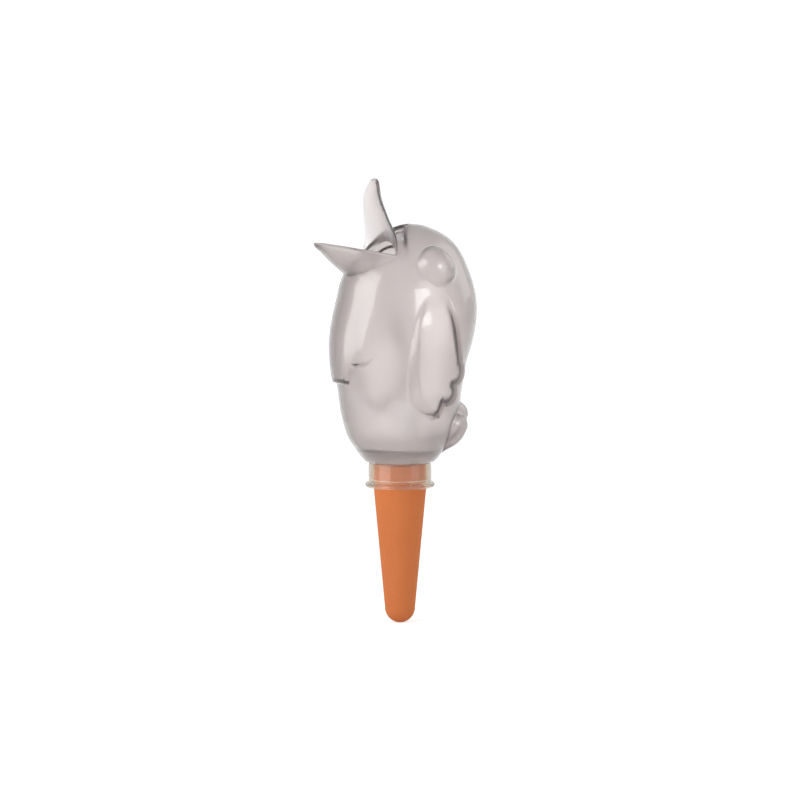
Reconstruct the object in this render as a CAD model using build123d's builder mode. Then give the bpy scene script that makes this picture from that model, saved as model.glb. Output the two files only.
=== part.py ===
from build123d import *
import os

# A self watering spike: a clear bird shaped bottle, filled through its open beak,
# that stands on a hollow clay cone. Water seeps through the cone into the soil.
# The bird faces -Y and its left side is +X. Z = 0 is the level of the soil,
# at the underside of the collar's flange, on the axis of the cone.

# Bottle
bottle_bottom = 13.5
bottle_top = 142
belly_half_depth = 40.3
belly_half_width = 33.8
head_lean = 6.8
wall = 2
cut_overrun = 12

# Height, half depth, half width and lean of each level, as shares of the bottle's own sizes.
# Then the share of its rise that the wing, the bib and the brow step have at that level.
body_shares = [
    (-1, 0.432, 0.509, 0, 1, 1, 0),
    (-0.933, 0.553, 0.639, 0, 1, 1, 0),
    (-0.882, 0.613, 0.686, 0, 1, 1, 0),
    (-0.782, 0.719, 0.772, 0, 1, 1, 0),
    (-0.681, 0.779, 0.808, 0, 1, 1, 0),
    (-0.58, 0.822, 0.831, 0, 1, 1, 0),
    (-0.377, 0.869, 0.87, 0, 1, 1, 0),
    (-0.175, 0.925, 0.926, 0, 0.95, 0.9, 0),
    (0.026, 0.987, 0.988, 0.226, 0.8, 0.65, 0),
    (0.222, 1, 1, 0.484, 0.45, 0.35, 0),
    (0.377, 0.975, 0.964, 0.613, 0.1, 0.1, 0),
    (0.517, 0.927, 0.905, 0.613, -0.3, -0.2, 0),
    (0.642, 0.844, 0.811, 0.677, -0.5, -0.4, -0.1),
    (0.751, 0.744, 0.704, 0.79, -0.5, -0.4, 0.02),
    (0.849, 0.608, 0.574, 0.903, -0.5, -0.4, 0.3),
    (0.916, 0.45, 0.423, 0.984, -0.5, -0.4, 0.7),
    (0.966, 0.274, 0.257, 1, -0.5, -0.4, 0.95),
    (0.989, 0.156, 0.148, 1, -0.5, -0.4, 1),
    (1, 0.03, 0.03, 1, 0, 0, 1),
]

# Eyes
eye_radius = 12.5
eye_side = 21
eye_place = 7.7
eye_drop = 24

# Wings: outline in the side view, from the wing's own depth and height
wing_rise = 3.4
wing_place = 4
wing_lift = 22.7
wing_half_depth = 17
wing_height = 70
wing_bevel_side = 23
wing_bevel_reach = 1.6
wing_tilt = 6
wing_front_shares = [(0, 1), (-0.5, 0.94), (-0.84, 0.72), (-0.99, 0.42), (-0.93, 0.22), (-0.62, 0.08), (-0.2, 0)]
wing_crown_shares = [(0, 0.97), (-0.41, 0.9), (-0.72, 0.7), (-0.72, 0.41), (-0.6, 0.235), (-0.36, 0.14), (-0.09, 0.06)]
wing_tip_shares = [(0.02, 0.01), (0.08, 0.05)]
wing_notch_shares = [(0.18, 0.13), (0.6, 0.28)]
wing_lobe_shares = [(0.62, 0.17), (0.99, 0.34)]
wing_back_shares = [(0.88, 0.46), (0.7, 0.6), (0.62, 0.75), (0.45, 0.92), (0, 1)]

# Bib: outline in the front view, from its own half width and height. It is narrower than
# the belly, so that its sides run out into the belly and only its hem stands proud.
bib_rise = 3.2
bib_narrowing = 2.7
bib_lift = 43
bib_half_width = 26
bib_height = 70
bib_tuft_shares = [(-0.3, 0), (0.24, 0), (0.31, 0.035)]
bib_scallop_shares = [(0.4, 0.1), (0.46, 0.15), (0.6, 0.141), (0.8, 0.172)]

# Tail: two rows of rounded feather ends, sunk into the back round an upright axis
tail_lobe_radius = 8
tail_axis_place = 7.4
tail_ring_radius = 22.6
tail_turn = 26
tail_upper_lift = 25.8
tail_upper_share = 0.9
tail_lower_lift = 18
tail_lower_share = 1.4

# Beak: two open scoops that meet at the corners of the mouth
beak_wall = 1.7
mouth_corner_place = -12.8
mouth_corner_drop = 17.5
upper_beak_length = 41.7
upper_beak_half_width = 20
upper_beak_shares = [
    (0, 1, 0, 0.3),
    (0.24, 0.87, 0.02, 0.31),
    (0.49, 0.68, -0.05, 0.37),
    (0.75, 0.5, -0.108, 0.4),
    (0.9, 0.33, -0.09, 0.45),
    (0.975, 0.2, -0.07, 0.5),
    (1, 0.06, -0.06, 0.5),
]
lower_beak_length = 39.2
lower_beak_half_width = 20
lower_beak_rise = 7.4
lower_beak_shares = [
    (0, 1, 0.9),
    (0.2, 0.91, 0.94),
    (0.42, 0.75, 0.98),
    (0.6, 0.6, 0.92),
    (0.75, 0.46, 0.8),
    (0.88, 0.29, 0.68),
    (0.97, 0.14, 0.7),
    (1, 0.05, 0.8),
]
beak_tip_solid_share = 0.93

# Brow: the dome stands a step higher than the root of the beak
brow_step = 3.5
brow_place = 0.3
brow_side_place = -8
brow_half_width = 18

# Neck insert
insert_height = 6
insert_bottom_radius = 15.2
insert_top_radius = 21.3
insert_dish_radius = 18
insert_dish_depth = 2
spigot_radius = 8.4
spigot_bore_radius = 6
spigot_length = 9

# Seal ring, collar and cone
seal_thickness = 1.2
seal_width = 5.1
collar_radius = 17
collar_wall = 1.5
flange_radius = 18.9
flange_thickness = 2.6
flange_lip_fillet = 1.1
collar_grip_height = 4
cone_radius = 14.3
cone_tip_radius = 8.2
cone_depth = 74.3
cone_wall = 4
cone_floor = 6
cone_rim_fillet = 0.8

bottle_middle = (bottle_top + bottle_bottom) / 2
bottle_half_height = (bottle_top - bottle_bottom) / 2
insert_top = bottle_bottom + insert_height
cone_top = bottle_bottom - seal_thickness
eye_height = bottle_top - eye_drop
mouth_corner_height = bottle_top - mouth_corner_drop
wing_bottom = bottle_bottom + wing_lift
bib_hem = bottle_bottom + bib_lift
tail_upper_height = bottle_bottom + tail_upper_lift
tail_lower_height = bottle_bottom + tail_lower_lift


def bird_layer(grow, wing=0, bib=0, brow=0):
    """The bird's rounded form, grown by a wall, with a share of each rise at each level."""
    deep = belly_half_depth + grow
    wide = belly_half_width + grow
    tall = bottle_half_height + grow
    narrowing = bib_narrowing * bib / bib_rise
    with BuildPart() as layer:
        for level, depth, width, lean, wing_share, bib_share, brow_share in body_shares:
            rise = wing * wing_share - brow * brow_share
            y_radius = max(deep * depth + rise + bib * bib_share, deep * body_shares[-1][1])
            x_radius = max(wide * width + rise - narrowing * bib_share, wide * body_shares[-1][2])
            height = bottle_middle + tall * level - brow * brow_share * max(level, 0)
            with BuildSketch(Plane.XY.offset(height)):
                with Locations((0, head_lean * lean)):
                    Ellipse(y_radius, x_radius, rotation=90)
        loft()
    return layer.part


def wing_pad(grow):
    """The raised left wing: its outline from the side, bevelled along its leading edge."""
    raised_form = bird_layer(grow, wing=wing_rise)
    side_plane = Plane(
        origin=(wing_bevel_side + grow, 0, 0),
        x_dir=(0, 1, 0),
        z_dir=Vector(1, 0, 0).rotate(Axis.Y, wing_tilt),
    )

    def place(share):
        across, up = share
        deep = wing_half_depth + grow
        tall = wing_height + grow + grow
        return Vector(wing_place + deep * across, wing_bottom - grow + tall * up)

    foot = [place(share) for share in wing_front_shares]
    crown = [place(share) for share in wing_crown_shares]
    tip = [place(share) for share in wing_tip_shares]
    notches = [place(share) for share in wing_notch_shares]
    lobes = [place(share) for share in wing_lobe_shares]
    back = [place(share) for share in wing_back_shares]
    with BuildPart() as bevel:
        for reach in (-wing_bevel_reach, wing_bevel_reach):
            edge = [low + (high - low) * reach for low, high in zip(foot, crown)]
            behind = wing_place + wing_half_depth + cut_overrun
            with BuildSketch(side_plane.offset(wing_rise * reach)):
                with BuildLine():
                    Spline(edge)
                    Polyline(edge[-1], (behind, edge[-1].Y), (behind, edge[0].Y), edge[0])
                make_face()
        loft(ruled=True)
    with BuildPart() as pad:
        with BuildSketch(Plane.YZ):
            with BuildLine():
                Spline(foot)
                ThreePointArc(foot[-1], tip[0], tip[1])
                Line(tip[1], notches[0])
                ThreePointArc(notches[0], lobes[0], notches[1])
                ThreePointArc(notches[1], lobes[1], back[0])
                Spline(back)
            make_face()
        extrude(amount=belly_half_width + cut_overrun)
        add(raised_form, mode=Mode.INTERSECT)
        add(bevel.part, mode=Mode.INTERSECT)
    return pad.part


def bib_pad(grow):
    """The bib: its scalloped hem from the front, cut to the bird's raised form."""
    raised_form = bird_layer(grow, bib=bib_rise)

    def place(share):
        across, up = share
        return ((bib_half_width + grow) * across, bib_hem - grow + bib_height * up)

    tuft = [place(share) for share in bib_tuft_shares]
    scallops = [place(share) for share in bib_scallop_shares]
    inner_side, outer_side = bib_tuft_shares[0][0], 1
    top_inner = place((inner_side, 1))
    top_outer = place((outer_side, 1))
    hem_outer = place((outer_side, bib_scallop_shares[-1][1]))
    with BuildPart() as pad:
        with BuildSketch(Plane.XZ):
            with BuildLine():
                Polyline(top_inner, tuft[0], tuft[1], tuft[2])
                ThreePointArc(tuft[2], scallops[0], scallops[1])
                ThreePointArc(scallops[1], scallops[2], scallops[3])
                Polyline(scallops[3], hem_outer, top_outer, top_inner)
            make_face()
        extrude(amount=belly_half_depth + cut_overrun)
        add(raised_form, mode=Mode.INTERSECT)
    return pad.part


def brow_recess(grow):
    """What the brow step takes off the dome, in front of the brow's line."""
    lowered_form = bird_layer(grow, brow=brow_step)
    side = brow_side_place - grow
    temple = brow_side_place + brow_side_place - grow
    with BuildPart() as recess:
        with BuildSketch(Plane.XY.offset(mouth_corner_height)):
            with BuildLine():
                ThreePointArc((-brow_half_width, side), (0, brow_place - grow), (brow_half_width, side))
                Polyline(
                    (brow_half_width, side),
                    (belly_half_width, temple),
                    (belly_half_width, -belly_half_depth),
                    (-belly_half_width, -belly_half_depth),
                    (-belly_half_width, temple),
                    (-brow_half_width, side),
                )
            make_face()
        extrude(amount=bottle_top - mouth_corner_height + cut_overrun)
        add(lowered_form, mode=Mode.SUBTRACT)
    return recess.part


def tail_row(grow, tall_share, height, turns):
    """One row of rounded feather ends: balls, shortened or stretched upright, round an upright axis."""
    with BuildPart() as lobe:
        Sphere(tail_lobe_radius + grow)
        scale(by=(1, 1, tall_share))
    spots = [Vector(0, tail_ring_radius, 0).rotate(Axis.Z, turn * tail_turn) for turn in turns]
    with BuildPart() as row:
        with Locations(*[spot + Vector(0, tail_axis_place, height) for spot in spots]):
            add(lobe.part)
    return row.part


def bird_form(grow):
    """The bird without its beak: body, left wing, bib, left eye, tail and brow step."""
    body = bird_layer(grow)
    wing = wing_pad(grow)
    bib = bib_pad(grow)
    upper_tail = tail_row(grow, tail_upper_share, tail_upper_height, (-1, 0, 1))
    lower_tail = tail_row(grow, tail_lower_share, tail_lower_height, (-1.5, -0.5, 0.5, 1.5))
    recess = brow_recess(grow)
    with BuildPart() as form:
        add(body)
        add(wing)
        add(bib)
        add(upper_tail)
        add(lower_tail)
        with Locations((eye_side, eye_place, eye_height)):
            Sphere(eye_radius + grow)
        add(recess, mode=Mode.SUBTRACT)
    return form.part


def upper_scoop(inset):
    """The upper half of the beak, or the hollow in it where an inset is given."""
    with BuildPart() as scoop:
        for level, width, place, depth in upper_beak_shares:
            if inset and level > beak_tip_solid_share:
                continue
            half = upper_beak_half_width * width - inset
            rim = mouth_corner_place + upper_beak_length * place
            spine = rim + upper_beak_half_width * width * depth - inset
            with BuildSketch(Plane.XY.offset(mouth_corner_height + upper_beak_length * level)):
                with BuildLine():
                    ThreePointArc((-half, rim), (0, spine), (half, rim))
                    if inset:
                        front = rim - cut_overrun
                        Polyline((half, rim), (half, front), (-half, front), (-half, rim))
                    else:
                        Line((half, rim), (-half, rim))
                make_face()
        loft()
    return scoop.part


def lower_scoop(inset):
    """The lower half of the beak, or the hollow in it where an inset is given."""
    with BuildPart() as scoop:
        for level, width, depth in lower_beak_shares:
            if inset and level > beak_tip_solid_share:
                continue
            half = lower_beak_half_width * width - inset
            rim = mouth_corner_height + lower_beak_rise * level
            keel = rim - lower_beak_half_width * width * depth + inset
            with BuildSketch(Plane.XZ.offset(lower_beak_length * level - mouth_corner_place)):
                with BuildLine():
                    ThreePointArc((-half, rim), (0, keel), (half, rim))
                    if inset:
                        top = rim + cut_overrun
                        Polyline((half, rim), (half, top), (-half, top), (-half, rim))
                    else:
                        Line((half, rim), (-half, rim))
                make_face()
        loft()
    return scoop.part


def mouth_opening():
    """The dome between the two rims of the beak, which the open mouth leaves away."""
    corner = (mouth_corner_place, mouth_corner_height)
    rims = [corner]
    for level, width, place, depth in upper_beak_shares[1:3]:
        rims.append((mouth_corner_place + upper_beak_length * place, mouth_corner_height + upper_beak_length * level))
    far = mouth_corner_place - lower_beak_length
    top = rims[-1][1]
    low = mouth_corner_height + lower_beak_rise
    with BuildPart() as opening:
        with BuildSketch(Plane.YZ):
            with BuildLine():
                Polyline(*rims, (far, top), (far, low), corner)
            make_face()
        extrude(amount=belly_half_width, both=True)
    return opening.part


os.makedirs("parts", exist_ok=True)
outer_form = bird_form(0)
inner_form = bird_form(-wall)
mouth = mouth_opening()
upper_beak = upper_scoop(0)
upper_hollow = upper_scoop(beak_wall)
lower_beak = lower_scoop(0)
lower_hollow = lower_scoop(beak_wall)

# The seat that the neck insert fills at the bottom of the two shells
with BuildPart() as insert_seat:
    with BuildSketch(Plane.XZ):
        with BuildLine():
            Polyline(
                (0, bottle_bottom - cut_overrun),
                (insert_bottom_radius, bottle_bottom - cut_overrun),
                (insert_bottom_radius, bottle_bottom),
                (insert_top_radius, insert_top),
                (0, insert_top),
                (0, bottle_bottom - cut_overrun),
            )
        make_face()
    revolve(axis=Axis.Z)

with BuildPart() as left_shell:
    add(outer_form)
    add(mouth, mode=Mode.SUBTRACT)
    add(upper_beak)
    add(lower_beak)
    split(bisect_by=Plane.YZ, keep=Keep.TOP)
    add(inner_form, mode=Mode.SUBTRACT)
    add(upper_hollow, mode=Mode.SUBTRACT)
    add(lower_hollow, mode=Mode.SUBTRACT)
    add(insert_seat.part, mode=Mode.SUBTRACT)

with BuildPart() as right_shell:
    mirror(left_shell.part, about=Plane.YZ)

# Neck insert: a thick disc dished towards its bore, with the spigot below it
with BuildPart() as neck_insert:
    with BuildSketch(Plane.XZ):
        with BuildLine():
            Polyline(
                (spigot_bore_radius, bottle_bottom - spigot_length),
                (spigot_radius, bottle_bottom - spigot_length),
                (spigot_radius, bottle_bottom),
                (insert_bottom_radius, bottle_bottom),
                (insert_top_radius, insert_top),
                (insert_dish_radius, insert_top),
                (spigot_bore_radius, insert_top - insert_dish_depth),
                (spigot_bore_radius, bottle_bottom - spigot_length),
            )
        make_face()
    revolve(axis=Axis.Z)

# Seal ring: lies on the rim of the cone, round the spigot
seal_radius = spigot_radius + seal_width
with BuildPart() as seal_ring:
    with BuildSketch(Plane.XY.offset(cone_top)):
        Circle(seal_radius)
        Circle(spigot_radius, mode=Mode.SUBTRACT)
    extrude(amount=seal_thickness)

# Collar: a sleeve with a flange that grips the cone at its foot and reaches up to the bottle
with BuildPart() as collar:
    with BuildSketch(Plane.XY):
        Circle(flange_radius)
    extrude(amount=flange_thickness)
    lip = collar.edges().filter_by(GeomType.CIRCLE).sort_by(Axis.Z)[-1]
    fillet(lip, radius=flange_lip_fillet)
    with BuildSketch(Plane.XY.offset(flange_thickness)):
        Circle(collar_radius)
    extrude(amount=bottle_bottom - flange_thickness)
    with BuildSketch(Plane.XY):
        Circle(cone_radius)
    extrude(amount=bottle_bottom, mode=Mode.SUBTRACT)
    with BuildSketch(Plane.XY.offset(collar_grip_height)):
        Circle(collar_radius - collar_wall)
    extrude(amount=bottle_bottom - collar_grip_height, mode=Mode.SUBTRACT)

# Clay cone: hollow, with a thick rounded tip
tip_centre = cone_tip_radius - cone_depth
with BuildPart() as clay_cone:
    with BuildSketch(Plane.XZ):
        with BuildLine():
            Polyline((0, cone_top), (cone_radius, cone_top), (cone_radius, 0), (cone_tip_radius, tip_centre))
            CenterArc((0, tip_centre), cone_tip_radius, 0, -90)
            Line((0, -cone_depth), (0, cone_top))
        make_face()
    revolve(axis=Axis.Z)
    with BuildSketch(Plane.XZ):
        with BuildLine():
            Polyline(
                (0, cone_top),
                (cone_radius - cone_wall, cone_top),
                (cone_radius - cone_wall, 0),
                (cone_tip_radius - cone_wall, tip_centre),
                (0, cone_floor - cone_depth),
                (0, cone_top),
            )
        make_face()
    revolve(axis=Axis.Z, mode=Mode.SUBTRACT)
    rim = clay_cone.edges().filter_by(GeomType.CIRCLE).filter_by_position(Axis.Z, cone_top, cone_top)
    fillet(rim.sort_by(SortBy.RADIUS)[-1], radius=cone_rim_fillet)

pieces = {
    "left_shell": left_shell,
    "right_shell": right_shell,
    "neck_insert": neck_insert,
    "seal_ring": seal_ring,
    "collar": collar,
    "clay_cone": clay_cone,
}
for name, piece in pieces.items():
    piece.part.label = name
    export_step(piece.part, f"parts/{name}.step")
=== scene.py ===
import math

import bmesh
import bpy
import numpy as np
from bpy.props import FloatProperty, FloatVectorProperty, PointerProperty
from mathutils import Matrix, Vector


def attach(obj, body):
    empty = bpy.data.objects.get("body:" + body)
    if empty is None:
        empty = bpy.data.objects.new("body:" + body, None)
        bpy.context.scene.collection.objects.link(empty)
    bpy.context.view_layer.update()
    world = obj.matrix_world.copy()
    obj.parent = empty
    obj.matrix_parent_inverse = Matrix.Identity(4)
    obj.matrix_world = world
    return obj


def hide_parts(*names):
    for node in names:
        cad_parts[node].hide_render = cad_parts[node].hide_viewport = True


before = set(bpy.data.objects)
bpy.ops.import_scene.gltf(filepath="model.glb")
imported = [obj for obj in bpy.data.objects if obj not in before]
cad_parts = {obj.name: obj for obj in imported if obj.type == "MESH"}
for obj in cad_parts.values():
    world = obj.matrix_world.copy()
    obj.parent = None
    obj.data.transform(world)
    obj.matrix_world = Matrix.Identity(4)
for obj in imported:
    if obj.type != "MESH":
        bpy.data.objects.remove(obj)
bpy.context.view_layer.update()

bl_info = {
    "name": "Self Watering Spike",
    "version": (1, 0, 0),
    "blender": (4, 5, 0),
    "location": "View3D > Sidebar > Spike",
    "description": "A clear bird shaped bottle with an open beak, on a collar and a clay cone",
    "category": "Add Mesh",
}

MM = 0.001

# What stands for zero where something is divided by it, and the radius of the form at its poles, in metres
NEAR_ZERO = 1e-12
POLE_RADIUS = 1e-6

# How often an interval is halved to find the head's form and the beak's root on it
HEAD_HALVINGS, ROOT_HALVINGS = 40, 30

# Depth of the beak's channel where its wall has used it up, and points along its rim when that is measured
THINNEST_CHANNEL = 0.02 * MM
RIM_POINTS = 2000

# Points closer than this are one, and edges that turn by more than this angle are sharp
MERGE_DISTANCE = 0.0005 * MM
SHARP_ANGLE = math.radians(40)

# Level, half depth, half width and lean of the bird's form, as shares of its own sizes,
# then the share of its rise that the wing, the bib and the brow step have at that level
BODY_SHARES = np.array([
    (-1, 0.432, 0.509, 0, 1, 1, 0),
    (-0.933, 0.553, 0.639, 0, 1, 1, 0),
    (-0.882, 0.613, 0.686, 0, 1, 1, 0),
    (-0.782, 0.719, 0.772, 0, 1, 1, 0),
    (-0.681, 0.779, 0.808, 0, 1, 1, 0),
    (-0.58, 0.822, 0.831, 0, 1, 1, 0),
    (-0.377, 0.869, 0.87, 0, 1, 1, 0),
    (-0.175, 0.925, 0.926, 0, 0.95, 0.9, 0),
    (0.026, 0.987, 0.988, 0.226, 0.8, 0.65, 0),
    (0.222, 1, 1, 0.484, 0.45, 0.35, 0),
    (0.377, 0.975, 0.964, 0.613, 0.1, 0.1, 0),
    (0.517, 0.927, 0.905, 0.613, 0, 0, 0),
    (0.642, 0.844, 0.811, 0.677, 0, 0, 0),
    (0.751, 0.744, 0.704, 0.79, 0, 0, 0.02),
    (0.849, 0.608, 0.574, 0.903, 0, 0, 0.3),
    (0.916, 0.45, 0.423, 0.984, 0, 0, 0.7),
    (0.966, 0.274, 0.257, 1, 0, 0, 0.95),
    (0.989, 0.156, 0.148, 1, 0, 0, 1),
    (1, 0, 0, 1, 0, 0, 1),
])

# Level, half width, place of the rim and depth of the channel, as shares of the upper beak's sizes
UPPER_BEAK_SHARES = np.array([
    (0, 1, 0, 0.3),
    (0.24, 0.87, 0.02, 0.31),
    (0.49, 0.68, -0.05, 0.37),
    (0.75, 0.5, -0.108, 0.4),
    (0.9, 0.33, -0.09, 0.45),
    (0.975, 0.18, -0.07, 0.5),
    (1, 0, -0.06, 0.5),
])

# Level, half width and depth of the channel, as shares of the lower beak's sizes
LOWER_BEAK_SHARES = np.array([
    (0, 1, 0.9),
    (0.2, 0.91, 0.94),
    (0.42, 0.75, 0.98),
    (0.6, 0.6, 0.92),
    (0.75, 0.46, 0.8),
    (0.88, 0.29, 0.68),
    (0.97, 0.14, 0.7),
    (1, 0, 0.8),
])

# Outline of the wing from the side, as shares of its half depth and height
WING_FOOT_SHARES = np.array([
    (0, 1), (-0.5, 0.94), (-0.84, 0.72), (-0.99, 0.42), (-0.93, 0.23), (-0.62, 0.1), (-0.08, 0.027),
])
WING_CROWN_SHARES = np.array([
    (0, 0.97), (-0.41, 0.9), (-0.72, 0.7), (-0.72, 0.41), (-0.6, 0.25), (-0.33, 0.155), (0.04, 0.085),
])
WING_TIP_SHARES = np.array([(-0.08, 0.027), (0.1, 0.04), (0.22, 0.075)])
WING_LOBE_SHARES = np.array([
    [(0.36, 0.14), (0.85, 0.19), (0.78, 0.285)],
    [(0.78, 0.285), (1.14, 0.34), (1.04, 0.46)],
])
WING_BACK_SHARES = np.array([(1.04, 0.46), (0.86, 0.6), (0.72, 0.75), (0.5, 0.92), (0, 1)])

# Share of the wing's rise that is taken up in a small step at its foot line, share of its trailing edge's
# width that lies outside its outline, and clearance from the foot line where points start to be slid
WING_FOOT_SHARE = 0.2
WING_EDGE_OUTSIDE = 0.8
WING_FOOT_CLEARANCE = 3 * MM

# Hem of the bib from the front, as shares of its half width and height
BIB_TUFT_SHARES = np.array([(-0.3, 0), (0.24, 0), (0.31, 0.035)])
BIB_LOBE_SHARES = np.array([
    [(0.31, 0.035), (0.4, 0.08), (0.46, 0.125)],
    [(0.46, 0.125), (0.62, 0.14), (0.82, 0.2)],
])

# Softness of the line at the side where the bib's rise ends
BIB_SIDE_BLEND = 0.6 * MM

# Points gather fully at a step where the wing has at least this share of its rise, and the bib this rise.
# The lower the power, the closer they gather
LOWEST_SLIDING_SHARE = 0.3
LOWEST_SLIDING_RISE = 0.5 * MM
GATHER_POWER = 0.3

# How steeply a ball's height falls past its edge
PAST_EDGE_FALL = 1.5

# How tall the balls of the tail's two rows are for their width, how much longer below their middles,
# and where they stand, in turns from one to the next
TAIL_UPPER_STRETCH, TAIL_UPPER_DROP, TAIL_UPPER_TURNS = 0.9, 0.3, (0, 1)
TAIL_LOWER_STRETCH, TAIL_LOWER_DROP, TAIL_LOWER_TURNS = 1.15, 1.0, (0.5, 1.5)

# The way from the eye's middle along which the blend gets soft, down and forward,
# and how far before the middle that starts, as a share of the eye's radius
EYE_LOW_FRONT = np.array([0, -0.64, -0.77])
EYE_BLEND_START = 0.4

# How much of the bottle's smoke the neck insert has, and how clear it is
INSERT_SMOKE_SHARE, INSERT_CLEARNESS = 0.06, 0.7

# Columns of a skin that end on the lower and the upper beak, and its rows below the shoulder,
# on the head and on the beak, those round the lip, and those over which the relief fades out
LOWER_COLUMNS, UPPER_COLUMNS = 62, 128
LEVEL_ROWS, HEAD_ROWS, BEAK_ROWS = 126, 78, 34
LIP_ROWS = 5
FADE_ROWS = 6

# How far columns are drawn to the wing and rows to the beak, and where round the bird the wing is
WING_PULL, WING_TURN = 0.055, 0.13
ROW_PULL = 0.09

# Half the reach, the height at the back and half the width of the floor, in metres
FLOOR_REACH, FLOOR_RISE, FLOOR_HALF_WIDTH = 2.2, 2.4, 3

# The part of the paper's white that is glow
PAPER_GLOW = 0.6

# Nearly white: the least bit of green makes up for the warm tint of the smoke
LAMP_COLOUR = (0.985, 1, 0.985)

# Each softbox: its angles round from the camera and up, its sizes in metres, and its share of the power
SOFTBOXES = {
    "left_softbox": (-58, 15, (0.95, 1.5), 1.48),
    "right_softbox": (57, 8, (0.7, 1.15), 0.33),
    "front_softbox": (40, 19, (0.4, 0.25), 0.17),
    "rim_softbox": (120, 28, (0.5, 0.8), 0.15),
}


def length(name, text, size):
    """A length that a user may change, in millimetres here and in Blender's own unit in the panel."""
    return FloatProperty(name=name, description=text, default=size * MM, subtype="DISTANCE", unit="LENGTH")


def angle(name, text, degrees):
    """An angle that a user may change, in degrees here and in Blender's own unit in the panel."""
    return FloatProperty(name=name, description=text, default=math.radians(degrees), subtype="ANGLE")


def number(name, text, value, subtype="NONE"):
    """A plain number that a user may change."""
    return FloatProperty(name=name, description=text, default=value, subtype=subtype)


def colour(name, text, value):
    """A linear colour that a user may change."""
    return FloatVectorProperty(
        name=name, description=text, default=value, subtype="COLOR", size=3, min=0, max=1
    )


class BottleSizes(bpy.types.PropertyGroup):
    """Sizes of the bird shaped bottle."""

    bottom: length("Bottom", "Height of the bottle's open foot", 13.5)
    top: length("Top", "Height of the top of the head", 142)
    half_depth: length("Half depth", "Half the depth of the belly, front to back", 40.3)
    half_width: length("Half width", "Half the width of the belly, side to side", 33.8)
    head_lean: length("Head lean", "How far the head sits behind the foot", 6.8)
    wall: length("Wall", "Thickness of the moulded wall", 2)
    weld_gap: length("Weld gap", "How far each half stands back from the plane where they are welded", -0.01)
    head_height: length("Head height", "Height of the middle of the head", 112)
    head_place: length("Head place", "Place of the middle of the head, front to back", 3)
    shoulder: length("Shoulder", "Height up to which the form is built level by level", 104)
    seat_bottom_radius: length("Seat bottom radius", "Radius of the foot's seat at its bottom", 15.2)
    seat_top_radius: length("Seat top radius", "Radius of the foot's seat at its top", 22)
    seat_height: length("Seat height", "Height of the foot's seat", 8.6)


class ReliefSizes(bpy.types.PropertyGroup):
    """Sizes of the eyes, wings, bib, brow and tail."""

    eye_radius: length("Eye radius", "Radius of the eyeball", 12.5)
    eye_side: length("Eye side", "Distance of the eyeball's middle from the weld", 21)
    eye_place: length("Eye place", "Place of the eyeball's middle, front to back", 7.7)
    eye_height: length("Eye height", "Height of the eyeball's middle", 118)
    eye_crease: length("Eye crease", "Softness of the crease above the eye", 0.3)
    eye_blend: length("Eye blend", "Softness of the blend below the eye", 3.5)
    wing_rise: length("Wing rise", "How far the wing stands out", 3.4)
    wing_place: length("Wing place", "Middle of the wing, front to back", 4)
    wing_bottom: length("Wing bottom", "Height of the wing's tip", 36.2)
    wing_half_depth: length("Wing half depth", "Half the wing's depth", 17)
    wing_height: length("Wing height", "Height of the wing", 70)
    wing_edge: length("Wing edge", "Width of the wall at the wing's trailing edge", 1.1)
    wing_foot_edge: length("Wing foot edge", "Width of the small step at the wing's foot line", 1.6)
    wing_inner_edge: length("Wing inner edge", "Width of the same step on the inner skin", 4.4)
    bib_rise: length("Bib rise", "How far the bib stands out", 3.2)
    bib_narrowing: length("Bib narrowing", "How much narrower the bib's form is than the belly", 2.7)
    bib_hem: length("Bib hem", "Height of the bib's hem", 56.5)
    bib_half_width: length("Bib half width", "Half the bib's width", 26)
    bib_height: length("Bib height", "Height of the bib", 70)
    bib_edge: length("Bib edge", "Width of the wall at the bib's hem", 1.8)
    bib_inner_edge: length("Bib inner edge", "Width of the same step on the inner skin", 2)
    brow_step: length("Brow step", "How far the beak's root lies below the dome", 3.5)
    brow_place: length("Brow place", "Place of the brow's middle, front to back", 0.3)
    brow_drop: length("Brow drop", "How much further forward the brow's ends are", 8.3)
    brow_notch: length("Brow notch", "Depth of the furrow in the middle of the brow", 5)
    brow_notch_width: length("Brow notch width", "Half the width of that furrow", 4.5)
    brow_half_width: length("Brow half width", "Half the width of the brow", 18)
    brow_edge: length("Brow edge", "Width of the wall under the brow", 0.9)
    brow_inner_edge: length("Brow inner edge", "Width of the same step on the inner skin", 2.2)
    tail_radius: length("Tail radius", "Radius of a feather end", 8)
    tail_axis_place: length("Tail axis place", "Place of the axis that the feather ends stand round", 7.4)
    tail_ring_radius: length("Tail ring radius", "Distance of the feather ends from their axis", 22.6)
    tail_turn: angle("Tail turn", "Angle from one feather end to the next", 26)
    tail_upper_height: length("Tail upper height", "Height of the upper feather ends", 39.3)
    tail_lower_height: length("Tail lower height", "Height of the lower feather ends", 32.6)
    tail_crease: length("Tail crease", "Softness of the creases between the feather ends", 0.8)
    tail_inner_crease: length("Tail inner crease", "Softness of the same creases on the inner skin", 3.2)
    tail_root: length("Tail root", "Height at which the feather ends have run out", 14)
    tail_fade: length("Tail fade", "Height over which the feather ends run out", 22)


class BeakSizes(bpy.types.PropertyGroup):
    """Sizes of the open beak."""

    wall: length("Wall", "Thickness of the beak's wall", 2.6)
    corner_place: length("Corner place", "Place of the corner of the mouth, front to back", -12.8)
    corner_height: length("Corner height", "Height of the corner of the mouth", 124.5)
    upper_length: length("Upper length", "Length of the upper beak", 41.7)
    upper_half_width: length("Upper half width", "Half the width of the upper beak at its root", 20)
    lower_length: length("Lower length", "Length of the lower beak", 39.2)
    lower_half_width: length("Lower half width", "Half the width of the lower beak at its root", 20)
    lower_rise: length("Lower rise", "How much higher the lower beak's tip is than its corner", 7.4)


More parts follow.
